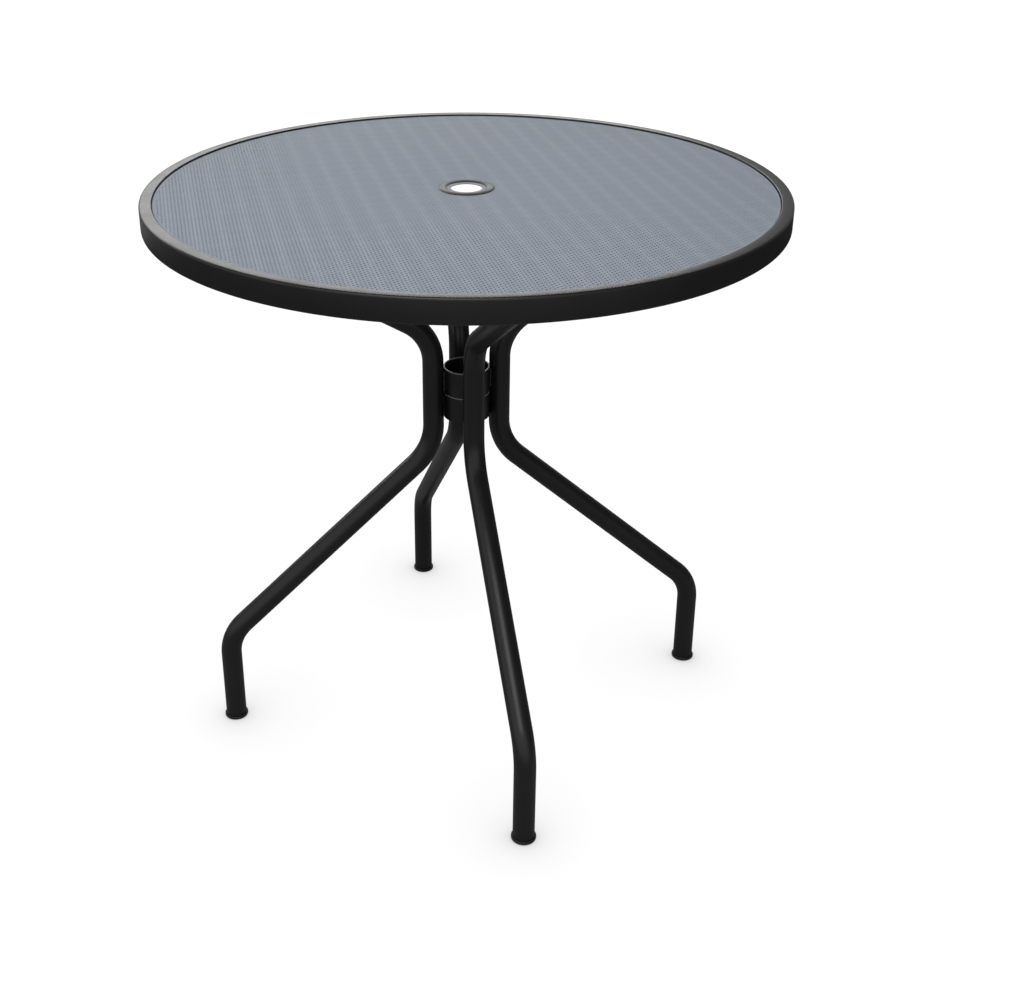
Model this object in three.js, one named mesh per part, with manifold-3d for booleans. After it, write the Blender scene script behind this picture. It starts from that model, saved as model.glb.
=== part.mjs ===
// A round garden table with a hole for an umbrella pole, 800 mm across and 750 mm high.
//
// A rolled steel rim holds a sheet of fine steel mesh. Under it, four bent tube legs stand close
// together at the middle, where two steel collars join them. Each leg spreads out to a foot near
// the table's edge, and its arm spreads out to the rim, where two bolts hold it.
//
// Millimetres, +Z up. The origin is on the floor, on the table's axis. The legs point along
// +X (right), +Y (back), -X (left) and -Y (front).

import * as THREE from 'three';
import { mergeVertices } from 'three/addons/utils/BufferGeometryUtils.js';
import Module from 'manifold-3d';

const wasm = await Module();
wasm.setup();

// The whole table
const tableDiameter = 800;
const tableHeight = 750;

// The space between two pieces that touch, and how far a cut runs past what it cuts
const fitGap = 0.3;
const cutOverrun = 5;

// Rim: a rectangular tube rolled into a ring, with drain holes below
const rimHeight = 30;
const rimWidth = 15;
const rimWall = 1.5;
const rimCornerRadius = 3;
const drainHoleRadius = 2.5;

// Mesh top: a round sheet, its edge pressed down inside the rim
const meshRecess = 2;
const meshThickness = 1.2;
const meshEdgeHeight = 10;

// The hole that the umbrella pole passes through, the domed ring that stands round it on the mesh,
// and the flat backing ring under the mesh
const poleHoleRadius = 19.5;
const poleHoleMargin = 5.5;
const ringWidth = 10;
const ringEdgeThickness = 0.5;
const ringCrownRise = 1.1;
const backingRingThickness = 1.2;

// Brace bars: square tubes under the mesh, mitred where two of them meet in front of a leg's arm
const barSize = 15;
const barWall = 1.5;
const braceInset = 50;

// Corner plates on the top, arm plates on the legs, and the bolts that join them
const plateThickness = 4;
const plateMargin = 5;
const plateClearance = 1.5;
const cornerClip = 4;
const boltInset = 15;
const boltOffset = 18;
const weldRoom = 7;

// Legs: one bent tube each
const tubeRadius = 14;
const tubeWall = 1.5;
const uprightDistance = 45;
const footDistance = 335;
const upperCornerDrop = 195;
const uprightLength = 162;
const kneeHeight = 133;
const upperBendRadius = 66;
const lowerBendRadius = 77;
const kneeBendRadius = 63;

// Collars: two short pieces of thin tube between the uprights
const collarDrop = 47;
const collarHeight = 35.3;
const collarWall = 2;

// Glides: plastic caps with a plug that is pressed into the tube
const glideLip = 2;
const glideHeight = 4.5;
const glideEdgeRadius = 2;
const plugHeight = 20;
const plugChamfer = 1.5;

// Bolts with a domed head and a hexagon socket, washers and weld nuts. The head's dome is part of an
// ellipse, which a flat with the socket in it cuts short.
const boltRadius = 4;
const boltLength = 20;
const boltHeadRadius = 7;
const boltHeadHeight = 4.4;
const boltDomeAngle = Math.PI / 3;
const boltTipChamfer = 0.8;
const socketWidth = 5;
const socketDepth = 2.6;
const boltHoleClearance = 0.5;
const washerRadius = 8;
const washerThickness = 1.6;
const nutWidth = 13;
const nutHeight = 6.5;

// How finely round shapes are cut into flats
const rimSides = 96;
const ringSides = 40;
const tubeSides = 16;
const smallSides = 12;
const hexagonSides = 6;
const bendSteps = 5;
const crownSteps = 6;
const cornerSteps = 2;

// Levels and distances that follow from the sizes above
const rimRadius = tableDiameter / 2;
const rimInnerRadius = rimRadius - rimWidth;
const rimBottom = tableHeight - rimHeight;
const meshTop = tableHeight - meshRecess;
const meshBottom = meshTop - meshThickness;
const barTop = meshBottom - fitGap;
const barBottom = barTop - barSize;
const cornerPlateTop = barBottom - fitGap;
const cornerPlateBottom = cornerPlateTop - plateThickness;
const armPlateTop = cornerPlateBottom - fitGap;
const armPlateBottom = armPlateTop - plateThickness;
const armTop = armPlateBottom - fitGap;
const washerTop = armPlateBottom - fitGap;
const boltSeat = washerTop - washerThickness - fitGap;
const boltDistance = rimInnerRadius - boltInset;
const braceCornerDistance = rimRadius - braceInset;
const ringInnerRadius = poleHoleRadius + poleHoleMargin;
const ringRadius = ringInnerRadius + ringWidth;
const upperCornerHeight = tableHeight - upperCornerDrop;
const lowerCornerHeight = upperCornerHeight - uprightLength;
const collarRadius = uprightDistance - tubeRadius - fitGap;
const upperCollarTop = upperCornerHeight - collarDrop;
const lowerCollarTop = upperCollarTop - collarHeight - fitGap;

// The arm ends in an oval under its plate, just inside the washers. Its lower side runs in a
// straight line from the end of that oval and touches the circle of the tube's radius round the
// upper corner, which gives the arm's angle above the floor.
const ovalEnd = boltDistance - washerRadius - weldRoom;
const armRise = armTop - upperCornerHeight;
const armRun = ovalEnd - uprightDistance;
const armAngle = Math.atan2(armRise, armRun) + Math.asin(tubeRadius / Math.hypot(armRise, armRun));
const ovalHalfLength = tubeRadius / Math.sin(armAngle);
const armReach = ovalEnd - ovalHalfLength;

// Which way each leg points
const quarterTurn = Math.PI / 2;
const sides = ['right', 'back', 'left', 'front'];

// Materials: black paint on steel, the greyer paint of the mesh and of its ring, plastic, plated steel
const blackPaint = new THREE.MeshStandardMaterial({ color: 0x222222, roughness: 0.4, metalness: 0.2 });
const meshPaint = new THREE.MeshStandardMaterial({ color: 0x8f96a0, roughness: 0.6, metalness: 0.1 });
const ringPaint = new THREE.MeshStandardMaterial({ color: 0x5c5b59, roughness: 0.4, metalness: 0.3 });
const glidePlastic = new THREE.MeshStandardMaterial({ color: 0x1a1a1a, roughness: 0.55, metalness: 0 });
const platedSteel = new THREE.MeshStandardMaterial({ color: 0xa8aaac, roughness: 0.35, metalness: 0.9 });

// A faceted round is cut short between its corners: this is how far its flats are from its axis.
function flatsRadius(radius, sideCount) {
  return radius * Math.cos(Math.PI / sideCount);
}

// A surface as a solid that can be cut and joined
function solidFrom(geometry) {
  const bare = geometry.clone();
  bare.deleteAttribute('normal');
  bare.deleteAttribute('uv');
  const merged = mergeVertices(bare);
  const vertProperties = new Float32Array(merged.attributes.position.array);
  const triVerts = new Uint32Array(merged.index.array);
  return new wasm.Manifold(new wasm.Mesh({ numProp: 3, vertProperties, triVerts }));
}

// A solid as a surface again
function geometryFrom(solid) {
  const mesh = solid.getMesh();
  const geometry = new THREE.BufferGeometry();
  geometry.setAttribute('position', new THREE.BufferAttribute(mesh.vertProperties, 3));
  geometry.setIndex(new THREE.BufferAttribute(mesh.triVerts, 1));
  geometry.computeVertexNormals();
  return geometry;
}

// A surface with others cut out of it
function cut(geometry, ...cutters) {
  const solids = cutters.map(solidFrom);
  return geometryFrom(solids.reduce((body, cutter) => body.subtract(cutter), solidFrom(geometry)));
}

// An outline of [distance from the axis, height] turned about the Z axis
function turned(outline, sideCount) {
  const points = outline.map(([distance, height]) => new THREE.Vector2(distance, height));
  return new THREE.LatheGeometry(points, sideCount).rotateX(quarterTurn);
}

// A closed outline, which ends where it starts, turned about the Z axis
function turnedRing(outline, sideCount) {
  return turned([...outline, outline[0]], sideCount);
}

// The outline of a plain ring, as it would be cut from a tube
function tubeOutline(innerRadius, outerRadius, bottom, top) {
  return [[innerRadius, bottom], [outerRadius, bottom], [outerRadius, top], [innerRadius, top]];
}

// Part of a circle or an ellipse, from one angle to another
function arcOutline(centre, radii, from, to, steps) {
  const points = [];
  for (let step = 0; step <= steps; step += 1) {
    const angle = from + (to - from) * step / steps;
    points.push([centre[0] + radii[0] * Math.cos(angle), centre[1] + radii[1] * Math.sin(angle)]);
  }
  return points;
}

// A flat shape with a thickness, standing on the given height
function plateFrom(shape, bottom, thickness, curveSegments) {
  const settings = { depth: thickness, bevelEnabled: false, curveSegments };
  return new THREE.ExtrudeGeometry(shape, settings).translate(0, 0, bottom);
}

// A round hole in a flat shape
function roundHole(x, y, radius) {
  return new THREE.Path().absarc(x, y, radius, 0, 2 * Math.PI);
}

// Rim

function rimFrame() {
  const skin = turnedRing(rimSection(rimCornerRadius), rimSides);
  const hollow = turnedRing(rimSection(rimCornerRadius - rimWall), rimSides);
  return cut(skin, hollow, ...sides.map((side, index) => drainHole(index)));
}

// The outline of the rim's tube or, with smaller arcs round the same centres, of its hollow
function rimSection(arcRadius) {
  const inner = rimInnerRadius + rimCornerRadius;
  const outer = rimRadius - rimCornerRadius;
  const low = rimBottom + rimCornerRadius;
  const high = tableHeight - rimCornerRadius;
  const radii = [arcRadius, arcRadius];
  return [
    ...arcOutline([inner, low], radii, 2 * quarterTurn, 3 * quarterTurn, cornerSteps),
    ...arcOutline([outer, low], radii, 3 * quarterTurn, 4 * quarterTurn, cornerSteps),
    ...arcOutline([outer, high], radii, 0, quarterTurn, cornerSteps),
    ...arcOutline([inner, high], radii, quarterTurn, 2 * quarterTurn, cornerSteps),
  ];
}

function drainHole(index) {
  const middle = (rimInnerRadius + rimRadius) / 2;
  const turn = (index + 1 / 2) * quarterTurn;
  return new THREE.CylinderGeometry(drainHoleRadius, drainHoleRadius, 2 * cutOverrun, smallSides)
    .rotateX(quarterTurn)
    .translate(middle * Math.cos(turn), middle * Math.sin(turn), rimBottom);
}

// Mesh top

function meshSheet() {
  const edgeRadius = rimInnerRadius - fitGap;
  return turnedRing([
    [poleHoleRadius, meshBottom],
    [edgeRadius - meshThickness, meshBottom],
    [edgeRadius - meshThickness, meshTop - meshEdgeHeight],
    [edgeRadius, meshTop - meshEdgeHeight],
    [edgeRadius, meshTop],
    [poleHoleRadius, meshTop],
  ], rimSides);
}

// Umbrella ring and its backing ring

// The ring's upper side is part of a circle, which the ring's width and its rise set
function umbrellaRing() {
  const middle = (ringInnerRadius + ringRadius) / 2;
  const ringBottom = meshTop + fitGap;
  const crownTop = ringBottom + ringEdgeThickness + ringCrownRise;
  const crownRadius = (ringWidth ** 2 / 4 + ringCrownRise ** 2) / (2 * ringCrownRise);
  const halfAngle = Math.asin(ringWidth / 2 / crownRadius);
  return turnedRing([
    [ringInnerRadius, ringBottom],
    [ringRadius, ringBottom],
    ...arcOutline(
      [middle, crownTop - crownRadius],
      [crownRadius, crownRadius],
      quarterTurn - halfAngle,
      quarterTurn + halfAngle,
      crownSteps,
    ),
  ], ringSides);
}

function backingRing() {
  const top = meshBottom - fitGap;
  return turnedRing(tubeOutline(ringInnerRadius, ringRadius, top - backingRingThickness, top), ringSides);
}

// Brace bars: each lies across the diagonal between two legs

function braceBar() {
  const middle = braceCornerDistance * Math.SQRT1_2;
  const near = middle - barSize / 2;
  const far = middle + barSize / 2;
  const mitreGap = fitGap * Math.SQRT1_2;
  const shape = new THREE.Shape([
    new THREE.Vector2(near, mitreGap - near),
    new THREE.Vector2(far, mitreGap - far),
    new THREE.Vector2(far, far - mitreGap),
    new THREE.Vector2(near, near - mitreGap),
  ]);
  const bore = barSize - 2 * barWall;
  const boreLength = 2 * (far + cutOverrun);
  const hollow = new THREE.BoxGeometry(bore, boreLength, bore)
    .translate(middle, 0, barBottom + barSize / 2);
  return cut(plateFrom(shape, barBottom, barSize, 1), hollow);
}

// Corner plates and arm plates, drawn for the leg that points along +X

function boltHoles() {
  const radius = boltRadius + boltHoleClearance;
  return [-boltOffset, boltOffset].map((offset) => roundHole(boltDistance, offset, radius));
}

function cornerPlate() {
  const start = braceCornerDistance - barSize * Math.SQRT1_2 - plateMargin;
  const reach = flatsRadius(rimInnerRadius, rimSides) - fitGap;
  const halfWidth = boltOffset + washerRadius + 2 * plateMargin;
  const halfAngle = Math.asin(halfWidth / reach);
  const shape = new THREE.Shape();
  shape.moveTo(start, cornerClip - halfWidth);
  shape.lineTo(start + cornerClip, -halfWidth);
  shape.absarc(0, 0, reach, -halfAngle, halfAngle);
  shape.lineTo(start + cornerClip, halfWidth);
  shape.lineTo(start, halfWidth - cornerClip);
  shape.closePath();
  shape.holes.push(...boltHoles());
  return plateFrom(shape, cornerPlateBottom, plateThickness, smallSides / 2);
}

function armPlate() {
  const tailStart = armReach - ovalHalfLength - plateMargin;
  const tailHalfWidth = tubeRadius + plateMargin;
  const headStart = boltDistance - washerRadius - plateMargin;
  const headHalfWidth = boltOffset + washerRadius + plateMargin;
  const reach = flatsRadius(rimInnerRadius, rimSides) - plateClearance;
  const headEnd = Math.sqrt(reach ** 2 - headHalfWidth ** 2);
  const halfOutline = [
    [tailStart, tailHalfWidth - cornerClip],
    [tailStart + cornerClip, tailHalfWidth],
    [headStart - cornerClip, tailHalfWidth],
    [headStart, tailHalfWidth + cornerClip],
    [headStart, headHalfWidth - cornerClip],
    [headStart + cornerClip, headHalfWidth],
    [headEnd - cornerClip, headHalfWidth],
    [headEnd, headHalfWidth - cornerClip],
  ];
  const otherHalf = halfOutline.map(([x, y]) => [x, -y]);
  const corners = [...otherHalf, ...halfOutline.reverse()];
  const shape = new THREE.Shape(corners.map(([x, y]) => new THREE.Vector2(x, y)));
  shape.holes.push(...boltHoles());
  return plateFrom(shape, armPlateBottom, plateThickness, smallSides / 2);
}

// Legs, drawn in the XZ plane for the leg that points along +X

// A path that is sampled at its bends only, because a straight run needs no points of its own
class BentPath extends THREE.Curve {
  constructor(stations) {
    super();
    this.stations = stations;
  }

  station(share) {
    return this.stations[Math.round(share * (this.stations.length - 1))];
  }

  getPointAt(share, target = new THREE.Vector3()) {
    return target.copy(this.station(share).point);
  }

  getTangentAt(share, target = new THREE.Vector3()) {
    return target.copy(this.station(share).tangent);
  }
}

// The points and directions of one bend: an arc that leaves the incoming run and meets the next
function bendStations(before, corner, after, radius) {
  const incoming = corner.clone().sub(before).normalize();
  const outgoing = after.clone().sub(corner).normalize();
  const turn = incoming.angleTo(outgoing);
  const inward = outgoing.clone().addScaledVector(incoming, -Math.cos(turn)).normalize();
  const start = corner.clone().addScaledVector(incoming, -radius * Math.tan(turn / 2));
  const stations = [];
  for (let step = 0; step <= bendSteps; step += 1) {
    const angle = turn * step / bendSteps;
    stations.push({
      point: start.clone()
        .addScaledVector(incoming, radius * Math.sin(angle))
        .addScaledVector(inward, radius * (1 - Math.cos(angle))),
      tangent: incoming.clone().multiplyScalar(Math.cos(angle))
        .addScaledVector(inward, Math.sin(angle)),
    });
  }
  return stations;
}

function legPath() {
  const pastPlate = tubeRadius / Math.tan(armAngle) + cutOverrun;
  const armDirection = new THREE.Vector3(Math.cos(armAngle), 0, Math.sin(armAngle));
  const corners = [
    new THREE.Vector3(armReach, 0, armTop).addScaledVector(armDirection, pastPlate),
    new THREE.Vector3(uprightDistance, 0, upperCornerHeight),
    new THREE.Vector3(uprightDistance, 0, lowerCornerHeight),
    new THREE.Vector3(footDistance, 0, kneeHeight),
    new THREE.Vector3(footDistance, 0, glideHeight + fitGap),
  ];
  const bendRadii = [upperBendRadius, lowerBendRadius, kneeBendRadius];
  const bends = bendRadii.flatMap((radius, index) => bendStations(
    corners[index],
    corners[index + 1],
    corners[index + 2],
    radius,
  ));
  const down = new THREE.Vector3(0, 0, -1);
  const first = { point: corners[0], tangent: armDirection.clone().negate() };
  const last = { point: corners[corners.length - 1], tangent: down };
  return new BentPath([first, ...bends, last]);
}

function leg() {
  const section = new THREE.Shape().absarc(0, 0, tubeRadius, 0, 2 * Math.PI);
  section.holes.push(roundHole(0, 0, tubeRadius - tubeWall));
  const path = legPath();
  const tube = new THREE.ExtrudeGeometry(section, {
    steps: path.stations.length - 1,
    curveSegments: tubeSides / 2,
    extrudePath: path,
  });
  const cutSize = 2 * (ovalHalfLength + tubeRadius) + cutOverrun;
  const abovePlate = new THREE.BoxGeometry(cutSize, cutSize, cutSize)
    .translate(armReach, 0, armTop + cutSize / 2);
  return cut(tube, abovePlate);
}

// Collars

function collar(top) {
  const outline = tubeOutline(collarRadius - collarWall, collarRadius, top - collarHeight, top);
  return turnedRing(outline, ringSides);
}

// Glides, drawn under a tube that stands on the Z axis

function glide() {
  const lipRadius = tubeRadius + glideLip;
  const plugRadius = flatsRadius(tubeRadius - tubeWall, tubeSides) - fitGap;
  const plugTop = glideHeight + plugHeight;
  return turned([
    [0, 0],
    ...arcOutline(
      [lipRadius - glideEdgeRadius, glideEdgeRadius],
      [glideEdgeRadius, glideEdgeRadius],
      -quarterTurn,
      0,
      2 * cornerSteps,
    ),
    [lipRadius, glideHeight],
    [plugRadius, glideHeight],
    [plugRadius, plugTop - plugChamfer],
    [plugRadius - plugChamfer, plugTop],
    [0, plugTop],
  ], tubeSides);
}

// Bolts, washers and weld nuts, drawn on the Z axis

// How far a hexagon's corners are from its middle, from its width across the flats
function hexagonCorner(width) {
  return width / 2 / Math.cos(Math.PI / hexagonSides);
}

function bolt() {
  const domeHeight = boltHeadHeight / Math.sin(boltDomeAngle);
  const body = turned([
    [0, -boltHeadHeight],
    ...arcOutline([0, 0], [boltHeadRadius, -domeHeight], boltDomeAngle, 0, cornerSteps),
    [boltRadius, 0],
    [boltRadius, boltLength - boltTipChamfer],
    [boltRadius - boltTipChamfer, boltLength],
    [0, boltLength],
  ], smallSides);
  const socketCorner = hexagonCorner(socketWidth);
  const socket = new THREE.CylinderGeometry(socketCorner, socketCorner, 2 * socketDepth, hexagonSides)
    .rotateX(quarterTurn)
    .translate(0, 0, -boltHeadHeight);
  return cut(body, socket);
}

function washer() {
  const outline = tubeOutline(boltRadius + boltHoleClearance, washerRadius, -washerThickness, 0);
  return turnedRing(outline, smallSides);
}

function weldNut() {
  const cornerRadius = hexagonCorner(nutWidth);
  const corners = Array.from({ length: hexagonSides }, (_, corner) => {
    const angle = corner * 2 * Math.PI / hexagonSides;
    return new THREE.Vector2(cornerRadius * Math.cos(angle), cornerRadius * Math.sin(angle));
  });
  const shape = new THREE.Shape(corners);
  shape.holes.push(roundHole(0, 0, boltRadius + fitGap));
  return plateFrom(shape, 0, nutHeight, smallSides / 2);
}

// The table

const table = new THREE.Group();

function add(parent, name, geometry, material, x = 0, y = 0, z = 0) {
  const mesh = new THREE.Mesh(geometry, material);
  mesh.name = name;
  mesh.position.set(x, y, z);
  parent.add(mesh);
}

add(table, 'rim_frame', rimFrame(), blackPaint);
add(table, 'mesh_top', meshSheet(), meshPaint);
add(table, 'umbrella_ring', umbrellaRing(), ringPaint);
add(table, 'umbrella_backing_ring', backingRing(), blackPaint);
add(table, 'upper_collar', collar(upperCollarTop), blackPaint);
add(table, 'lower_collar', collar(lowerCollarTop), blackPaint);

sides.forEach((side, index) => {
  const nextSide = sides[(index + 1) % sides.length];
  const diagonal = new THREE.Group();
  diagonal.rotation.z = (index + 1 / 2) * quarterTurn;
  add(diagonal, `brace_bar_${side}_${nextSide}`, braceBar(), blackPaint);
  table.add(diagonal);

  const arm = new THREE.Group();
  arm.rotation.z = index * quarterTurn;
  add(arm, `leg_${side}`, leg(), blackPaint);
  add(arm, `glide_${side}`, glide(), glidePlastic, footDistance);
  add(arm, `corner_plate_${side}`, cornerPlate(), blackPaint);
  add(arm, `arm_plate_${side}`, armPlate(), blackPaint);
  [['a', -boltOffset], ['b', boltOffset]].forEach(([letter, offset]) => {
    add(arm, `bolt_${side}_${letter}`, bolt(), platedSteel, boltDistance, offset, boltSeat);
    add(arm, `washer_${side}_${letter}`, washer(), platedSteel, boltDistance, offset, washerTop);
    const nutSeat = cornerPlateTop + fitGap;
    add(arm, `weld_nut_${side}_${letter}`, weldNut(), blackPaint, boltDistance, offset, nutSeat);
  });
  table.add(arm);
});

export default table;
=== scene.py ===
"""A round garden table: a steel rim with a fine mesh top, an umbrella hole and four bent tube legs.

Metres, +Z up. The origin is on the floor, on the table's axis. The legs point along +X (right),
+Y (back), -X (left) and -Y (front).
"""

import bmesh
import bpy
import numpy as np
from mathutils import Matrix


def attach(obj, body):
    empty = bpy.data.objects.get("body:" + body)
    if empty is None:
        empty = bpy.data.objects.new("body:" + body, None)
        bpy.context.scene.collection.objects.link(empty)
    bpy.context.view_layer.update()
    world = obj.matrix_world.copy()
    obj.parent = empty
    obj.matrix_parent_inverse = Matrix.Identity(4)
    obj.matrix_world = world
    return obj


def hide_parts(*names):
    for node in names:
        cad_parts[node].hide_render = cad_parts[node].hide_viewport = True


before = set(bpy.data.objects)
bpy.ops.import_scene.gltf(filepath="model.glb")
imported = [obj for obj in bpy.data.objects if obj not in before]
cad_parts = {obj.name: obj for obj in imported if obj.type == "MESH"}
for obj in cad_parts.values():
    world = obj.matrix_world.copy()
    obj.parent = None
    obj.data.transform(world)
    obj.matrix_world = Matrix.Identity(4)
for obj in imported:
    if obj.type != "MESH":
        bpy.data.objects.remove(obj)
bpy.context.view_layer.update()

scene = bpy.context.scene
scene.view_settings.view_transform = "Standard"


# ---- Camera ----
# It stands about two metres from the table, a little to the left of the front leg, and looks down.

camera_data = bpy.data.cameras.new("camera")
camera_data.sensor_width = 36
camera_data.lens = 50.55
camera_data.shift_x = 0.0377
camera_data.shift_y = -0.0743
camera = bpy.data.objects.new("camera", camera_data)
camera.location = (-0.3695, -1.6791, 1.2394)
looks_down, turned_right = 25.46, 12.41
camera.rotation_euler = np.radians((90 - looks_down, 0, -turned_right))
scene.collection.objects.link(camera)
scene.camera = camera


# ---- Floor and light ----
# A plain white studio with even light, and a pale floor without an edge in view. The paint
# reflects a soft box behind the table, one in front of it and the lit walls on the left.


class Signal:
    """An output of a shader node. Sums and products of signals and numbers add Math nodes."""

    def __init__(self, tree, socket=None):
        self.tree, self.socket = tree, socket

    def node(self, kind, settings=(), inputs=(), output=0):
        """Adds a node of a kind: its settings first, then the values or links of its inputs."""
        made = self.tree.nodes.new(kind)
        for name, value in dict(settings).items():
            setattr(made, name, value)
        for key, value in dict(inputs).items():
            if isinstance(value, Signal):
                self.tree.links.new(value.socket, made.inputs[key])
            else:
                made.inputs[key].default_value = value
        return Signal(self.tree, made.outputs[output] if len(made.outputs) else None)

    def math(self, operation, *operands):
        """A Math node on signals and numbers."""
        return self.node("ShaderNodeMath", {"operation": operation}, enumerate(operands))

    def __add__(self, other):
        return self.math("ADD", self, other)

    def __sub__(self, other):
        return self.math("SUBTRACT", self, other)

    def __rsub__(self, other):
        return self.math("SUBTRACT", other, self)

    def __mul__(self, other):
        return self.math("MULTIPLY", self, other)

    def __truediv__(self, other):
        return self.math("DIVIDE", self, other)

    __radd__ = __add__
    __rmul__ = __mul__


room = bpy.data.worlds.new("studio")
room.use_nodes = True
room.node_tree.nodes.clear()
space = Signal(room.node_tree)
camera_ray = space.node("ShaderNodeLightPath", output="Is Camera Ray")
glossy_ray = space.node("ShaderNodeLightPath", output="Is Glossy Ray")
clear_ray = space.node("ShaderNodeLightPath", output="Is Transmission Ray")
seen = space.math("MAXIMUM", space.math("MAXIMUM", camera_ray, glossy_ray), clear_ray)
direction = space.node("ShaderNodeTexCoord", output="Generated")
right = space.node("ShaderNodeSeparateXYZ", inputs={"Vector": direction}, output="X")
back = space.node("ShaderNodeSeparateXYZ", inputs={"Vector": direction}, output="Y")


def between(signal, low, high, to_low=0, to_high=1):
    """A smooth step from one value to another as the signal goes from low to high."""
    inputs = {"Value": signal, "From Min": low, "From Max": high, "To Min": to_low, "To Max": to_high}
    return signal.node("ShaderNodeMapRange", {"interpolation_type": "SMOOTHSTEP"}, inputs)


# In reflections the walls are brightest to the left and front, dimmer behind, and dark to the right
bright_side = np.radians(232)
to_bright_side = right * np.cos(bright_side) + back * np.sin(bright_side)
lit_walls = between(to_bright_side, -0.1, 0.65) * 0.6 + between(back, 0.3, 0.85) * 0.28 + 0.07
white = (1, 1, 1, 1)
even_light = space.node("ShaderNodeBackground", inputs={"Color": white, "Strength": 0.65})
wall = space.node("ShaderNodeBackground", inputs={
    "Color": white, "Strength": 1 - glossy_ray * (1 - lit_walls)})
walls = space.node("ShaderNodeMixShader", inputs={0: seen, 1: even_light, 2: wall})
space.node("ShaderNodeOutputWorld", inputs={"Surface": walls})
scene.world = room


def soft_box(name, place, aim, size, watts):
    """A rectangular lamp that faces a point."""
    lamp = bpy.data.lights.new(name, "AREA")
    lamp.shape = "RECTANGLE"
    lamp.size, lamp.size_y = size
    lamp.energy = watts
    box = bpy.data.objects.new(name, lamp)
    box.location = place
    away = box.location - type(box.location)(aim)
    box.rotation_euler = away.to_track_quat("Z", "Y").to_euler()
    scene.collection.objects.link(box)
    return box


soft_box("back_soft_box", (-0.6, 3.65, 2.12), (0, 0, 0.75), (4.9, 1.1), 49)
soft_box("front_soft_box", (-0.77, -1.51, 3.34), (0, 0, 0.4), (2, 2), 28)

floor_reach = 14
floor_mesh = bpy.data.meshes.new("floor")
floor_corners = floor_reach * np.array([(-1, -1, 0), (1, -1, 0), (1, 1, 0), (-1, 1, 0)], float)
floor_mesh.from_pydata(floor_corners.tolist(), [], [(0, 1, 2, 3)])
floor = bpy.data.objects.new("floor", floor_mesh)
scene.collection.objects.link(floor)

# The floor is plain white to the camera. Its shadow under the feet is painted: its glow dims where
# there is little open air within a hand's breadth, and a soft real one from the lamps lies over it.
contact_reach = 0.2
painted_shadow_depth = 0.75
floor_glow = 0.17
camera_darkening = 0.7
reflection_darkening = 0.97
matt_white = (0.42, 0.42, 0.42, 1)
unlit_grey = (0.02, 0.02, 0.02, 1)

floor_paint = bpy.data.materials.new("white_floor")
floor_paint.use_nodes = True
tree = floor_paint.node_tree
tree.nodes.clear()
ground = Signal(tree)
camera_ray = ground.node("ShaderNodeLightPath", output="Is Camera Ray")
glossy_ray = ground.node("ShaderNodeLightPath", output="Is Glossy Ray")
clear_ray = ground.node("ShaderNodeLightPath", output="Is Transmission Ray")
seen = camera_ray + clear_ray
open_air = ground.node("ShaderNodeAmbientOcclusion", {"samples": 12}, {"Distance": contact_reach}, "AO")
matt = ground.node("ShaderNodeBsdfDiffuse", inputs={"Color": matt_white})
dark = ground.node("ShaderNodeBsdfDiffuse", inputs={"Color": unlit_grey})

# The paint reflects a floor painted darker, with painted light in a patch round the table, on the
# ground in front of it and behind it, and a little on the left
place = ground.node("ShaderNodeTexCoord", output="Object")
ahead = 0 - ground.node("ShaderNodeSeparateXYZ", inputs={"Vector": place}, output="Y")
to_left = 0 - ground.node("ShaderNodeSeparateXYZ", inputs={"Vector": place}, output="X")
from_table = ground.node("ShaderNodeVectorMath", {"operation": "LENGTH"}, {0: place}, "Value")
lit = (
    between(from_table, 2, 0.8) * 0.46 + between(ahead, 0.6, 3.2) * 0.66
    + between(ahead, -1.7, -2.5) * 0.6 + between(to_left, 1, 2.6) * 0.14
)
# painted light and shade on the floor in reflections: matt grey where lit, dark grey elsewhere
shadowed = ground.node("ShaderNodeMixShader", inputs={
    0: seen * camera_darkening + glossy_ray * (reflection_darkening - lit), 1: matt, 2: dark})
# painted contact shadow: the floor's glow to the camera drops where open air is short
lift = ground.node("ShaderNodeEmission", inputs={
    "Color": white, "Strength": seen * (open_air * painted_shadow_depth + floor_glow)})
both = ground.node("ShaderNodeAddShader", inputs={0: shadowed, 1: lift})
ground.node("ShaderNodeOutputMaterial", inputs={"Surface": both})
floor_mesh.materials.append(floor_paint)


# ---- Rim ----
# A steel tube of rectangular section, rolled into a ring and butt welded, with the weld ground
# flush. Four small holes in its underside let rain out. Black powder coat, semi-gloss.

rim_radius = 0.4
rim_inner_radius = 0.385
rim_bottom = 0.72
table_height = 0.75
rim_edge = 0.003
rim_inner_edge = 0.001
drain_hole_radius = 0.0025
drain_hole_depth = 0.003
rim_sides = 288

black = (0.009, 0.009, 0.0091, 1)
dusty_black = (0.015, 0.015, 0.015, 1)


def unit(vectors):
    """Each vector divided by its length, or left as it is where its length is nothing."""
    length = np.linalg.norm(vectors, axis=-1, keepdims=True)
    return vectors / np.where(length > 0, length, 1)


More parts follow.
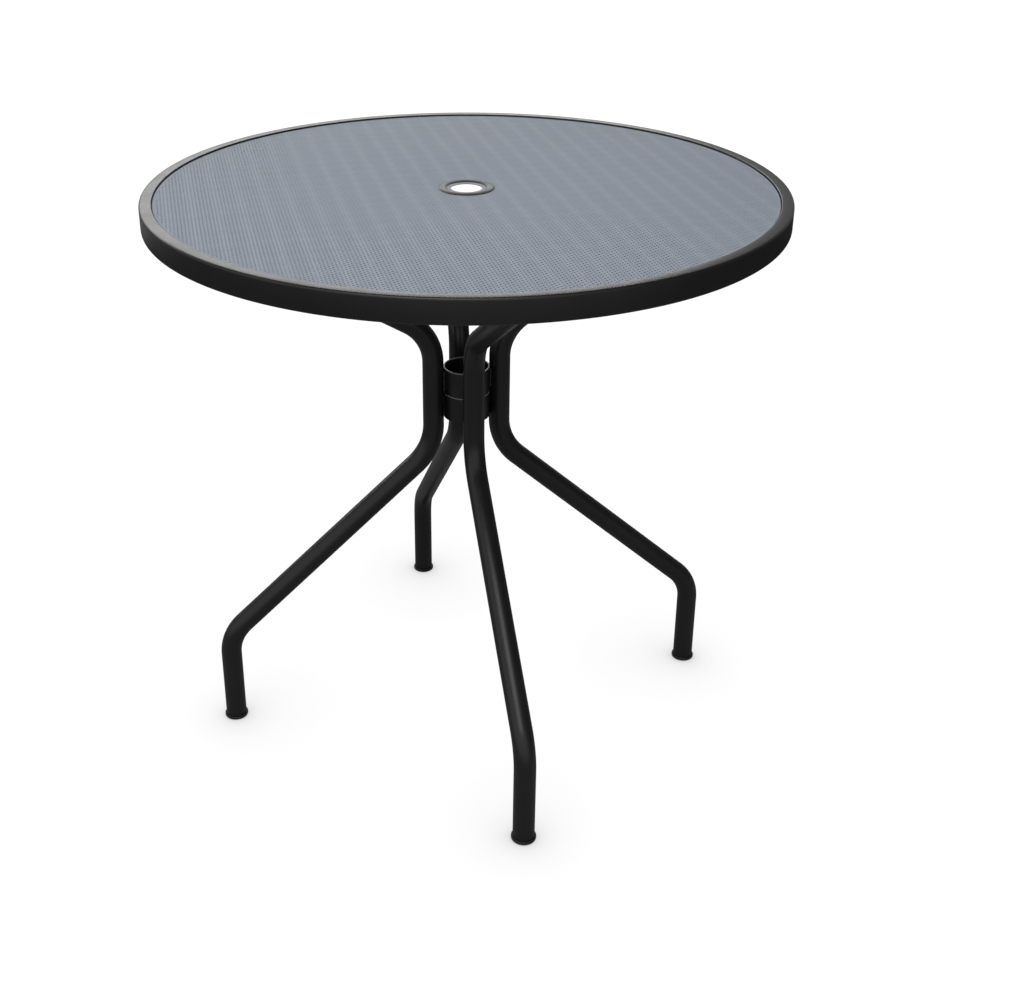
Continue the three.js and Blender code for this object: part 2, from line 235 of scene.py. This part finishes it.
def rounded(corners, radius, steps):
    """A closed outline with an arc at each corner.

    The circle's centre lies radius / sin(half the corner's angle) along the bisector. The arc's
    ends lie radius / tan(half the angle) from the corner along its two sides. Between them the
    spoke turns evenly: (sin((1 - share) turn) first + sin(share turn) last) / sin(turn).
    """
    corners = np.asarray(corners, float)
    radius = np.broadcast_to(np.asarray(radius, float).reshape(-1, 1), (len(corners), 1))
    back = unit(np.roll(corners, 1, axis=0) - corners)
    ahead = unit(np.roll(corners, -1, axis=0) - corners)
    half = np.arccos((back * ahead).sum(axis=-1, keepdims=True)) / 2
    centre = corners + unit(back + ahead) * radius / np.sin(half)
    first = corners + back * radius / np.tan(half) - centre
    last = corners + ahead * radius / np.tan(half) - centre
    turn = np.pi - 2 * half
    share = np.linspace(0, 1, steps + 1)[:, None, None]
    arcs = centre + (np.sin((1 - share) * turn) * first + np.sin(share * turn) * last) / np.sin(turn)
    return arcs.transpose(1, 0, 2).reshape(-1, corners.shape[1])


def turned(outline, sides):
    """An outline of (distance, height) turned about the Z axis.

    x = distance cos(angle), y = distance sin(angle), z = height, for angles all the way round.
    """
    angle = np.linspace(0, 2 * np.pi, sides, endpoint=False)
    distance, height = np.asarray(outline, float).T[:, :, None]
    return np.stack([distance * np.cos(angle), distance * np.sin(angle), height + 0 * angle], axis=-1)


def quads(rows, columns, rows_close, first=0):
    """Faces between neighbouring points of a grid whose columns close on themselves."""
    row = np.arange(rows if rows_close else rows - 1)[:, None]
    column = np.arange(columns)[None, :]
    next_row, next_column = (row + 1) % rows, (column + 1) % columns
    corners = (
        row * columns + column,
        row * columns + next_column,
        next_row * columns + next_column,
        next_row * columns + column,
    )
    return (first + np.stack(corners, axis=-1)).reshape(-1, 4)


def surface(name, grids, closed, crease=35):
    """One mesh from grids of points, with every column closed on itself.

    Where closed is true the last row of a grid joins its first, and elsewhere a flat face closes
    each end. The faces are turned outwards: a mesh whose enclosed volume is negative is flipped.
    """
    faces, first = [], 0
    for grid in grids:
        rows, columns = grid.shape[:2]
        faces += quads(rows, columns, closed, first).tolist()
        if not closed:
            end = first + np.arange(columns)
            faces += [end[::-1].tolist(), (end + (rows - 1) * columns).tolist()]
        first += rows * columns
    mesh = bpy.data.meshes.new(name)
    mesh.from_pydata(np.concatenate([grid.reshape(-1, 3) for grid in grids]).tolist(), [], faces)
    return finished(mesh, crease)


def finished(mesh, crease):
    """Turns a closed mesh's faces outwards and shades it smooth, but for edges above the crease."""
    mesh.calc_loop_triangles()
    corner = np.empty(3 * len(mesh.loop_triangles), int)
    mesh.loop_triangles.foreach_get("vertices", corner)
    place = np.empty(3 * len(mesh.vertices))
    mesh.vertices.foreach_get("co", place)
    one, two, three = place.reshape(-1, 3)[corner.reshape(-1, 3)].transpose(1, 0, 2)
    if (one * np.cross(two, three)).sum() < 0:
        mesh.flip_normals()
    mesh.shade_smooth()
    mesh.set_sharp_from_angle(angle=np.radians(crease))
    return mesh


def add_piece(mesh, paint, slot, *nodes):
    """A piece of the table in its place, with its finish, and the solids that it stands for."""
    mesh.materials.append(paint)
    piece = bpy.data.objects.new(mesh.name, mesh)
    scene.collection.objects.link(piece)
    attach(piece, "root")
    if nodes:
        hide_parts(*nodes)
    return piece


def new_finish(name, constants):
    """A material with the numbers that are the same all over it, and the place on the piece."""
    paint = bpy.data.materials.new(name)
    paint.use_nodes = True
    shader = paint.node_tree.nodes["Principled BSDF"]
    for socket, value in constants.items():
        shader.inputs[socket].default_value = value
    here = Signal(paint.node_tree).node("ShaderNodeTexCoord", output="Object")
    return paint, here


def put(paint, **signals):
    """Links signals to the shader's sockets. Base_Color stands for Base Color, and so on."""
    shader = paint.node_tree.nodes["Principled BSDF"]
    for name, signal in signals.items():
        paint.node_tree.links.new(signal.socket, shader.inputs[name.replace("_", " ")])


def noise(here, scale, detail=2, roughness=0.5):
    """Smooth random values round a half, that repeat nothing, at so many lumps to the metre."""
    inputs = {"Vector": here, "Scale": scale, "Detail": detail, "Roughness": roughness}
    return here.node("ShaderNodeTexNoise", {"noise_dimensions": "3D"}, inputs)


def blended(share, one, other):
    """A colour that goes from one to the other with the share."""
    settings = {"data_type": "RGBA"}
    return share.node("ShaderNodeMix", settings, {"Factor": share, 6: one, 7: other}, 2)


def baked_skin(here, roughness):
    """The skin of baked paint: patches that shine a little less, and fine and coarse dimples."""
    return {
        "Roughness": noise(here, 35, 3) * 0.12 + (roughness - 0.06),
        "Normal": here.node("ShaderNodeBump", inputs={
            "Height": noise(here, 700, 2) + noise(here, 160, 1) * 2,
            "Strength": 0.25,
            "Distance": 0.00008,
        }),
    }


def powder_coat(name, colour, dust, roughness, gloss):
    """Baked paint with faint clouds and specks of dust."""
    paint, here = new_finish(name, {"Specular IOR Level": gloss})
    clouds = between(noise(here, 9, 4, 0.6), 0.35, 0.75)
    specks = between(noise(here, 2600, 1), 0.66, 0.74)
    dusty = clouds * 0.5 + specks * 0.35
    put(paint, Base_Color=blended(dusty, colour, dust), **baked_skin(here, roughness))
    return paint


frame_paint = powder_coat("black_powder_coat", black, dusty_black, 0.33, 0.5)

rim_outline = rounded(
    [(rim_inner_radius, rim_bottom), (rim_radius, rim_bottom),
     (rim_radius, table_height), (rim_inner_radius, table_height)],
    [rim_edge, rim_edge, rim_edge, rim_inner_edge], 6,
)
rim = add_piece(surface("rolled_rim", [turned(rim_outline, rim_sides)], closed=True),
                frame_paint, "frame_paint", "rim_frame")

# The drain holes, half way across the rim's underside on the diagonals
drill_outline = [
    (drain_hole_radius, rim_bottom - drain_hole_depth),
    (drain_hole_radius, rim_bottom + drain_hole_depth),
]
hole_angle = np.radians((45, 135, 225, 315))
hole_distance = (rim_inner_radius + rim_radius) / 2
hole_places = hole_distance * np.stack(
    [np.cos(hole_angle), np.sin(hole_angle), 0 * hole_angle], axis=-1)
drill_points = [turned(drill_outline, 24) + hole_place for hole_place in hole_places]
drills = surface("drills", drill_points, closed=False)
drill_piece = bpy.data.objects.new("drills", drills)
scene.collection.objects.link(drill_piece)
drilling = rim.modifiers.new("drain_holes", "BOOLEAN")
drilling.operation = "DIFFERENCE"
drilling.solver = "EXACT"
drilling.object = drill_piece
drilled = bpy.data.meshes.new_from_object(rim.evaluated_get(bpy.context.evaluated_depsgraph_get()))
rim.modifiers.clear()
rim.data = finished(drilled, 35)
bpy.data.objects.remove(drill_piece)


# ---- Mesh top ----
# One round sheet of steel, punched all over with small holes in staggered columns and painted
# blue-grey. Its edge is pressed down inside the rim and welded there from below.

sheet_thickness = 0.0012
sheet_top = 0.748
sheet_edge_bottom = 0.738
sheet_radius = 0.3847
sheet_hole_radius = 0.0195
fold_radius = 0.0018
column_spacing = 0.0042
hole_spacing = 0.0063
punched_radius = 0.0009
stroke_spacing = 7 * column_spacing
weave_length = 0.017
plain_rim_from = 0.3805
plain_middle_to = 0.0245

mesh_colour = (0.271, 0.301, 0.35, 1)
mesh_colour_pale = (0.316, 0.348, 0.401, 1)

sheet_inner_edge = sheet_radius - sheet_thickness
sheet_bottom = sheet_top - sheet_thickness
cut_edge = 0.0003
sheet_outline = rounded(
    [(sheet_hole_radius, sheet_bottom), (sheet_inner_edge, sheet_bottom),
     (sheet_inner_edge, sheet_edge_bottom), (sheet_radius, sheet_edge_bottom),
     (sheet_radius, sheet_top), (sheet_hole_radius, sheet_top)],
    [cut_edge, fold_radius - sheet_thickness, cut_edge, cut_edge, fold_radius, cut_edge], 6,
)

mesh_paint, here = new_finish("mesh_powder_coat", {"Specular IOR Level": 0.04})
x = here.node("ShaderNodeSeparateXYZ", inputs={"Vector": here}, output="X")
y = here.node("ShaderNodeSeparateXYZ", inputs={"Vector": here}, output="Y")


def fraction(signal):
    """What is left of a number when the whole number below it is taken away."""
    return signal.math("FRACT", signal)


def distance_to_holes(shift):
    """How far a place on the sheet is from the nearest hole of every other column.

    Across and along the columns it is the distance to the nearest whole multiple of the spacing,
    once the holes are moved by the shift's share of the spacing.
    """
    across = fraction(x / (2 * column_spacing) + (shift + 0.5)) * (2 * column_spacing) - column_spacing
    along = fraction(y / hole_spacing + (shift + 0.5)) * hole_spacing - hole_spacing / 2
    return across.math("SQRT", across * across + along * along)


nearest = x.math("MINIMUM", distance_to_holes(0), distance_to_holes(0.5))
from_middle = x.math("SQRT", x * x + y * y)
punched_area = between(from_middle, plain_middle_to, plain_middle_to + 0.0005) * (
    1 - between(from_middle, plain_rim_from - 0.0005, plain_rim_from))
hole = (1 - between(nearest, punched_radius - 0.0001, punched_radius + 0.0001)) * punched_area
dish = 1 - between(nearest, punched_radius, punched_radius + 0.0007)


def lines(place):
    """Soft narrow lines, one to each stroke of the press: half of 1 - cosine, to the third power."""
    wave = place.math("COSINE", place * (2 * np.pi / stroke_spacing))
    return place.math("POWER", 0.5 - wave * 0.5, 3)


def ripple(place, length):
    """A wave of a length."""
    return place.math("COSINE", place * (2 * np.pi / length))


weave = ripple(x, 2 * column_spacing) * ripple(y, weave_length)
shade = (
    lines(x) * 0.5 + lines(y) * 0.16 + weave * 0.12
    + noise(here, 14, 3) * 0.3 + noise(here, 150, 1) * 0.6 - 0.2
)
put(
    mesh_paint,
    Base_Color=blended(shade, mesh_colour, mesh_colour_pale),
    Roughness=noise(here, 40, 3) * 0.15 + 0.5,
    Alpha=1 - hole,
    Normal=here.node("ShaderNodeBump", inputs={
        "Height": noise(here, 700, 2) * 0.3 - dish * punched_area, "Strength": 0.5, "Distance": 0.0002}),
)
add_piece(surface("mesh_sheet", [turned(sheet_outline, rim_sides)], closed=True),
          mesh_paint, "mesh_paint", "mesh_top")


# ---- Umbrella ring and backing ring ----
# Two pressed steel rings, one on each side of the mesh, spot welded together through it. The upper
# one is domed. Inside them the plain middle of the mesh has the hole for the pole.

ring_inner_radius = 0.025
ring_radius = 0.035
ring_bottom = 0.7483
ring_edge = 0.0005
crown_rise = 0.0011
backing_top = 0.7465
backing_bottom = 0.7453
ring_sides = 144

ring_grey = (0.05, 0.048, 0.043, 1)
ring_grey_worn = (0.065, 0.062, 0.056, 1)

ring_paint = powder_coat("grey_powder_coat", ring_grey, ring_grey_worn, 0.41, 0.43)

# The crown is part of a circle, whose radius is (half the width squared + rise squared) / (2 rise)
ring_half_width = (ring_radius - ring_inner_radius) / 2
crown_radius = (ring_half_width ** 2 + crown_rise ** 2) / (2 * crown_rise)
crown_angle = np.linspace(-1, 1, 21) * np.arcsin(ring_half_width / crown_radius)
crown = np.stack([
    ring_inner_radius + ring_half_width - crown_radius * np.sin(crown_angle),
    ring_bottom + ring_edge + crown_rise - crown_radius * (1 - np.cos(crown_angle)),
], axis=-1)
ring_outline = np.concatenate([[(ring_inner_radius, ring_bottom), (ring_radius, ring_bottom)], crown])
add_piece(surface("umbrella_hole_ring", [turned(ring_outline, ring_sides)], closed=True),
          ring_paint, "ring_paint", "umbrella_ring")

backing_outline = rounded(
    [(ring_inner_radius, backing_bottom), (ring_radius, backing_bottom), (ring_radius, backing_top),
     (ring_inner_radius, backing_top)],
    cut_edge, 3,
)
add_piece(surface("flat_backing_ring", [turned(backing_outline, ring_sides)], closed=True),
          frame_paint, "frame_paint", "umbrella_backing_ring")


# ---- Brace bars ----
# Four square steel tubes under the mesh, mitred in front of each leg's arm and welded to the
# corner plates. They keep the mesh flat.

bar_size = 0.015
bar_wall = 0.0015
bar_bottom = 0.7315
brace_corner_distance = 0.35
mitre_gap = 0.0003 * np.sqrt(0.5)
sides = ("right", "back", "left", "front")


def about_z(points, angle):
    """Points turned about the Z axis by an angle."""
    cosine, sine = np.cos(angle), np.sin(angle)
    return points @ np.array([(cosine, sine, 0), (-sine, cosine, 0), (0, 0, 1)])


def bar_ends(outline):
    """Both ends of a bar along Y. Each point stands on the mitre, at y = x less the gap."""
    x, z = outline.T
    reach = x - mitre_gap
    return np.stack([np.stack([x, -reach, z], axis=-1), np.stack([x, reach, z], axis=-1)])


bar_middle = np.array([brace_corner_distance * np.sqrt(0.5), bar_bottom + bar_size / 2])
square = np.array([(-1, -1), (1, -1), (1, 1), (-1, 1)]) / 2
bar_outside = bar_ends(bar_middle + rounded(square * bar_size, bar_wall, 5))
bar_inside = bar_ends(bar_middle + rounded(square * (bar_size - 2 * bar_wall), bar_wall / 3, 5))
bar_points = np.concatenate([bar_outside, bar_inside[::-1]])

for index, side in enumerate(sides):
    next_side = sides[(index + 1) % 4]
    turned_bar = about_z(bar_points, np.radians(45 + 90 * index))
    add_piece(surface(f"{side}_{next_side}_square_bar", [turned_bar], closed=True),
              frame_paint, "frame_paint", f"brace_bar_{side}_{next_side}")


# ---- Corner plates and arm plates ----
# Steel plates, 4 mm thick. A corner plate is welded to the rim and to the brace bars, and an arm
# plate to the top of each leg's arm. Two bolts join them at every leg.

plate_thickness = 0.004
plate_edge = 0.0004
corner_plate_bottom = 0.7272
corner_plate_start = 0.3344
corner_plate_reach = 0.3845
corner_plate_half_width = 0.036
plate_clip = 0.004
arm_plate_bottom = 0.7229
arm_plate_start = 0.2951
tail_half_width = 0.019
head_start = 0.357
head_end = 0.382
head_half_width = 0.031
bolt_distance = 0.37
bolt_offset = 0.018
bolt_hole_radius = 0.0045


def plate(name, outline, bottom):
    """A flat plate with two bolt holes: its outline and holes carried up through its thickness."""
    angle = np.linspace(0, 2 * np.pi, 32, endpoint=False)
    circle = bolt_hole_radius * np.stack([np.cos(angle), np.sin(angle)], axis=-1)
    loops = [outline] + [(bolt_distance, offset) + circle for offset in (-bolt_offset, bolt_offset)]
    curve = bpy.data.curves.new(name, "CURVE")
    curve.dimensions, curve.fill_mode = "2D", "BOTH"
    curve.extrude, curve.bevel_depth = plate_thickness / 2 - plate_edge, plate_edge
    curve.bevel_resolution, curve.offset = 2, -plate_edge
    for loop in loops:
        spline = curve.splines.new("POLY")
        spline.points.add(len(loop) - 1)
        spline.points.foreach_set("co", np.pad(loop, ((0, 0), (0, 2))).ravel())
        spline.use_cyclic_u = True
    holder = bpy.data.objects.new(name, curve)
    mesh = bpy.data.meshes.new_from_object(holder)
    bpy.data.objects.remove(holder)
    bpy.data.curves.remove(curve)
    points = np.empty(3 * len(mesh.vertices))
    mesh.vertices.foreach_get("co", points)
    points = points.reshape(-1, 3) + (0, 0, bottom + plate_thickness / 2)
    return mesh, points


def welded_copy(name, mesh, points, angle):
    """The mesh at an angle about the table's axis, with the points that lie together made one."""
    copy = mesh.copy()
    copy.name = name
    copy.vertices.foreach_set("co", about_z(points, angle).ravel())
    cleaner = bmesh.new()
    cleaner.from_mesh(copy)
    bmesh.ops.remove_doubles(cleaner, verts=cleaner.verts, dist=0.00001)
    cleaner.to_mesh(copy)
    cleaner.free()
    return finished(copy, 35)


half_angle = np.arcsin(corner_plate_half_width / corner_plate_reach)
rim_side = np.linspace(-half_angle, half_angle, 25)
corner_outline = np.concatenate([
    [(corner_plate_start, plate_clip - corner_plate_half_width),
     (corner_plate_start + plate_clip, -corner_plate_half_width)],
    corner_plate_reach * np.stack([np.cos(rim_side), np.sin(rim_side)], axis=-1),
    [(corner_plate_start + plate_clip, corner_plate_half_width),
     (corner_plate_start, corner_plate_half_width - plate_clip)],
])
half_arm_outline = np.array([
    (arm_plate_start, tail_half_width - plate_clip),
    (arm_plate_start + plate_clip, tail_half_width),
    (head_start - plate_clip, tail_half_width),
    (head_start, tail_half_width + plate_clip),
    (head_start, head_half_width - plate_clip),
    (head_start + plate_clip, head_half_width),
    (head_end - plate_clip, head_half_width),
    (head_end, head_half_width - plate_clip),
])
arm_outline = rounded(np.concatenate([half_arm_outline * (1, -1), half_arm_outline[::-1]]), 0.0015, 4)
corner_mesh, corner_points = plate("corner_plate_shape", corner_outline, corner_plate_bottom)
arm_mesh, arm_points = plate("arm_plate_shape", arm_outline, arm_plate_bottom)

for index, side in enumerate(sides):
    angle = np.radians(90 * index)
    add_piece(welded_copy(f"{side}_rim_plate", corner_mesh, corner_points, angle),
              frame_paint, "frame_paint", f"corner_plate_{side}")
    add_piece(welded_copy(f"{side}_leg_plate", arm_mesh, arm_points, angle),
              frame_paint, "frame_paint", f"arm_plate_{side}")
bpy.data.meshes.remove(corner_mesh)
bpy.data.meshes.remove(arm_mesh)


# ---- Legs ----
# Each leg is one steel tube, 28 mm across, bent three times: an arm up to the rim, an upright by
# the table's axis, a run that slopes out and down, and a foot. Black powder coat.

tube_radius = 0.014
tube_wall = 0.0015
tube_sides = 48
arm_top = 0.7226
arm_reach = 0.3276
arm_angle = np.radians(30.68)
leg_corners = np.array([
    (arm_reach, arm_top),
    (0.045, 0.555),
    (0.045, 0.393),
    (0.335, 0.133),
    (0.335, 0.0048),
])
bend_radii = (0, 0.066, 0.077, 0.063, 0)
bend_steps = 18


def carried(path, outline, across):
    """An outline carried along a path.

    At each point of the path its first axis is the cross product of the path's direction and the
    vector across, and its second axis is square to both.
    """
    direction = unit(np.gradient(path, axis=0))
    first = unit(np.cross(direction, across))
    second = np.cross(first, direction)
    across_points = outline[None, :, :1] * first[:, None] + outline[None, :, 1:] * second[:, None]
    return path[:, None] + across_points


def ring_of(radius, count):
    """A circle of points."""
    angle = np.linspace(0, 2 * np.pi, count, endpoint=False)
    return radius * np.stack([np.cos(angle), np.sin(angle)], axis=-1)


bends = rounded(leg_corners, bend_radii, bend_steps)[bend_steps + 1:-bend_steps - 1]
leg_line = np.concatenate([leg_corners[:1], bends, leg_corners[-1:]])
leg_path = np.stack([leg_line[:, 0], 0 * leg_line[:, 0], leg_line[:, 1]], axis=-1)
arm_direction = np.array([np.cos(arm_angle), 0, np.sin(arm_angle)])


def leg_skin(radius):
    """A tube's surface along the leg, with its top end slid along the arm on to the plate's level."""
    points = carried(leg_path, ring_of(radius, tube_sides), (0, 1, 0))
    slide = (arm_top - points[0, :, 2]) / arm_direction[2]
    points[0] += slide[:, None] * arm_direction
    return points


leg_points = np.concatenate([leg_skin(tube_radius), leg_skin(tube_radius - tube_wall)[::-1]])
for index, side in enumerate(sides):
    leg_mesh = surface(f"{side}_bent_leg", [about_z(leg_points, np.radians(90 * index))], closed=True)
    add_piece(leg_mesh, frame_paint, "frame_paint", f"leg_{side}")

# The weld round the top of each arm: an oval of small ripples against the plate's lower face
bead_radius = 0.0016
bead_step = 0.0017
bead_gap = 0.0006


def bead(path, across):
    """A weld: a round bead along a path, whose radius ripples with each step of the torch."""
    along = np.concatenate([[0], np.cumsum(np.linalg.norm(np.diff(path, axis=0), axis=-1))])
    swell = 1 + 0.12 * np.cos(2 * np.pi * along / bead_step)
    points = carried(path, ring_of(bead_radius, 10), across)
    return path[:, None] + (points - path[:, None]) * swell[:, None, None]


oval_angle = np.linspace(0, 2 * np.pi, 221)[:-1]
oval_path = np.stack([
    arm_reach + (tube_radius / np.sin(arm_angle) + bead_gap) * np.cos(oval_angle),
    (tube_radius + bead_gap) * np.sin(oval_angle),
    np.full_like(oval_angle, arm_top - 0.0007),
], axis=-1)
arm_welds = [about_z(bead(oval_path, (0, 0, 1)), np.radians(90 * index)) for index in range(4)]
add_piece(surface("arm_welds", arm_welds, closed=True), frame_paint, "frame_paint")


# ---- Collars ----
# Two short rings of thin steel tube, one above the other, between the four uprights. The upper one
# is welded to the left and right legs, and the lower one to the front and back legs.

collar_radius = 0.0307
collar_wall = 0.002
collar_height = 0.0353
upper_collar_top = 0.508
lower_collar_top = 0.4724
collar_edge = 0.0004
upright_distance = 0.045

painted_highlight_grey = (0.22, 0.22, 0.22, 1)


def collar(name, top, node):
    """A ring with rounded edges, whose black paint has a painted highlight, pale steel grey, along its
    upper edge.
    """
    paint, here = new_finish(f"{name}_paint", {"Specular IOR Level": 0.5})
    height = here.node("ShaderNodeSeparateXYZ", inputs={"Vector": here}, output="Z")
    # painted highlight: a thin pale steel-grey band along the top edge
    paler_tone = between(height + noise(here, 300, 2) * 0.0006, top - 0.0009, top - 0.0005)
    put(paint, Base_Color=blended(paler_tone, black, painted_highlight_grey), **baked_skin(here, 0.33))
    inner, bottom = collar_radius - collar_wall, top - collar_height
    corners = [(inner, bottom), (collar_radius, bottom), (collar_radius, top), (inner, top)]
    points = turned(rounded(corners, collar_edge, 4), 96)
    add_piece(surface(name, [points], closed=True), paint, "frame_paint", node)


collar("upper_steel_collar", upper_collar_top, "upper_collar")
collar("lower_steel_collar", lower_collar_top, "lower_collar")

weld_offset = 0.0052
weld_length = 0.026
weld_distance = (collar_radius + upright_distance - tube_radius) / 2 + 0.0004
weld_share = np.linspace(-0.5, 0.5, 80)
collar_welds = []
for top, legs in ((upper_collar_top, (0, 2)), (lower_collar_top, (1, 3))):
    for leg in legs:
        for offset in (-weld_offset, weld_offset):
            path = np.stack([
                np.full_like(weld_share, weld_distance),
                np.full_like(weld_share, offset),
                top - collar_height / 2 + weld_length * weld_share,
            ], axis=-1)
            collar_welds.append(about_z(bead(path, (1, 0, 0)), np.radians(90 * leg)))
add_piece(surface("collar_welds", collar_welds, closed=False), frame_paint, "frame_paint")


# ---- Glides ----
# Black plastic caps under the tube ends. Each has a plug that is pressed into the tube, and a lip
# with a rounded lower edge that stands on the floor.

cap_radius = 0.016
glide_height = 0.0045
glide_edge = 0.002
plug_radius = 0.0119
plug_top = 0.0245
core_radius = 0.004
shoulder_edge = 0.0006
plug_edge = 0.0015
foot_distance = 0.335


def moulded_plastic(name, colour, paler_tone, roughness):
    """Moulded plastic: a fine grain from the mould, faint flow lines and a dull bloom in patches."""
    paint, here = new_finish(name, {"Specular IOR Level": 0.3})
    bloom = between(noise(here, 70, 4, 0.6), 0.4, 0.7)
    flow = noise(here.node("ShaderNodeMapping", inputs={"Vector": here, "Scale": (1, 1, 8)}), 90, 2)
    put(
        paint,
        Base_Color=blended(bloom * 0.6 + flow * 0.4, colour, paler_tone),
        Roughness=bloom * 0.1 + (roughness - 0.05),
        Normal=here.node("ShaderNodeBump", inputs={
            "Height": noise(here, 3000, 2) + flow * 0.5, "Strength": 0.2, "Distance": 0.00005}),
    )
    return paint


plastic_black = (0.012, 0.012, 0.012, 1)
plastic_bloom = (0.03, 0.03, 0.03, 1)
glide_plastic = moulded_plastic("black_glide_plastic", plastic_black, plastic_bloom, 0.5)

edge_angle = np.linspace(-np.pi / 2, 0, 8)
glide_outline = np.concatenate([
    [(core_radius, 0)],
    np.stack([
        cap_radius - glide_edge + glide_edge * np.cos(edge_angle),
        glide_edge + glide_edge * np.sin(edge_angle),
    ], axis=-1),
    [(cap_radius, glide_height - shoulder_edge), (cap_radius - shoulder_edge, glide_height),
     (plug_radius, glide_height), (plug_radius, plug_top - plug_edge),
     (plug_radius - plug_edge, plug_top), (core_radius, plug_top)],
])
glide_points = turned(glide_outline, tube_sides) + (foot_distance, 0, 0)
for index, side in enumerate(sides):
    placed = about_z(glide_points, np.radians(90 * index))
    glide_mesh = surface(f"{side}_foot_cap", [placed], closed=False)
    add_piece(glide_mesh, glide_plastic, "glide_plastic", f"glide_{side}")


# ---- Bolts, washers and weld nuts ----
# Zinc-plated M8 bolts with a domed head and a hexagon socket, screwed up from below through a
# washer and both plates into a nut that is welded to the corner plate and painted with it.

bolt_radius = 0.004
bolt_seat = 0.7207
bolt_length = 0.02
thread_pitch = 0.00125
thread_depth = 0.0003
head_radius = 0.007
head_height = 0.0044
socket_corner = 0.0025 / np.cos(np.pi / 6)
socket_depth = 0.0026
washer_radius = 0.008
washer_top = 0.7226
washer_thickness = 0.0016
nut_bottom = 0.7315
nut_height = 0.0065
nut_corner = 0.0065 / np.cos(np.pi / 6)
fastener_sides = 48


def faceted(outline, hexagon_shares, sides):
    """An outline turned about the Z axis, whose rows are round or, by their share, hexagonal.

    On a hexagon the distance is the corner's distance times cos(30 degrees) / cos(angle from the
    middle of the nearest flat).
    """
    angle = np.linspace(0, 2 * np.pi, sides, endpoint=False)
    hexagon = np.cos(np.pi / 6) / np.cos(np.mod(angle, np.pi / 3) - np.pi / 6)
    share = np.asarray(hexagon_shares, float)[:, None]
    points = turned(outline, sides)
    points[..., :2] *= (1 - share + share * hexagon)[..., None]
    return points


zinc, here = new_finish("zinc_plate", {"Metallic": 1.0})
stains = between(noise(here, 260, 4, 0.65), 0.45, 0.7)
bright_zinc = (0.56, 0.56, 0.55, 1)
dull_zinc = (0.4, 0.39, 0.36, 1)
put(
    zinc,
    Base_Color=blended(stains, bright_zinc, dull_zinc),
    Roughness=stains * 0.2 + 0.3,
    Normal=here.node("ShaderNodeBump", inputs={
        "Height": noise(here, 4000, 2), "Strength": 0.2, "Distance": 0.00003}),
)

dome_angle = np.linspace(0, np.pi / 3, 9)
dome_height = head_height / np.sin(np.pi / 3)
dome = np.stack([head_radius * np.cos(dome_angle), -dome_height * np.sin(dome_angle)], axis=-1)[::-1]
thread_turns = np.arange(0.003, bolt_length - 0.001, thread_pitch / 4)
shank = np.stack([
    bolt_radius - thread_depth * (1 - np.cos(2 * np.pi * thread_turns / thread_pitch)) / 2,
    thread_turns,
], axis=-1)
bolt_outline = np.concatenate([
    [(socket_corner * 0.5, -head_height + socket_depth + 0.0003),
     (socket_corner, -head_height + socket_depth),
     (socket_corner, -head_height + 0.0002), (socket_corner + 0.0002, -head_height)],
    dome,
    [(bolt_radius, 0)],
    shank,
    [(bolt_radius - 0.0008, bolt_length)],
])
bolt_shares = np.array([1, 1, 1, 1] + [0] * (len(bolt_outline) - 4))
bolt_points = faceted(bolt_outline, bolt_shares, fastener_sides)

washer_outline = rounded(
    [(bolt_radius + 0.0005, -washer_thickness), (washer_radius, -washer_thickness),
     (washer_radius, 0), (bolt_radius + 0.0005, 0)],
    0.0003, 3,
)
washer_points = turned(washer_outline, fastener_sides)

nut_outline = [
    (bolt_radius + 0.0003, 0), (nut_corner - 0.0004, 0), (nut_corner, 0.0003),
    (nut_corner, nut_height - 0.0005), (nut_corner - 0.0009, nut_height),
    (bolt_radius + 0.0003, nut_height),
]
nut_points = faceted(nut_outline, [0, 1, 1, 1, 0.6, 0], fastener_sides)

for index, side in enumerate(sides):
    for letter, offset in (("a", -bolt_offset), ("b", bolt_offset)):
        angle = np.radians(90 * index)
        for shape, points, height, closed, paint, slot in (
            ("bolt", bolt_points, bolt_seat, False, zinc, "plated_steel"),
            ("washer", washer_points, washer_top, True, zinc, "plated_steel"),
            ("weld_nut", nut_points, nut_bottom, True, frame_paint, "frame_paint"),
        ):
            placed = about_z(points + (bolt_distance, offset, height), angle)
            mesh = surface(f"{side}_{shape}_{letter}", [placed], closed, crease=30)
            add_piece(mesh, paint, slot, f"{shape}_{side}_{letter}")
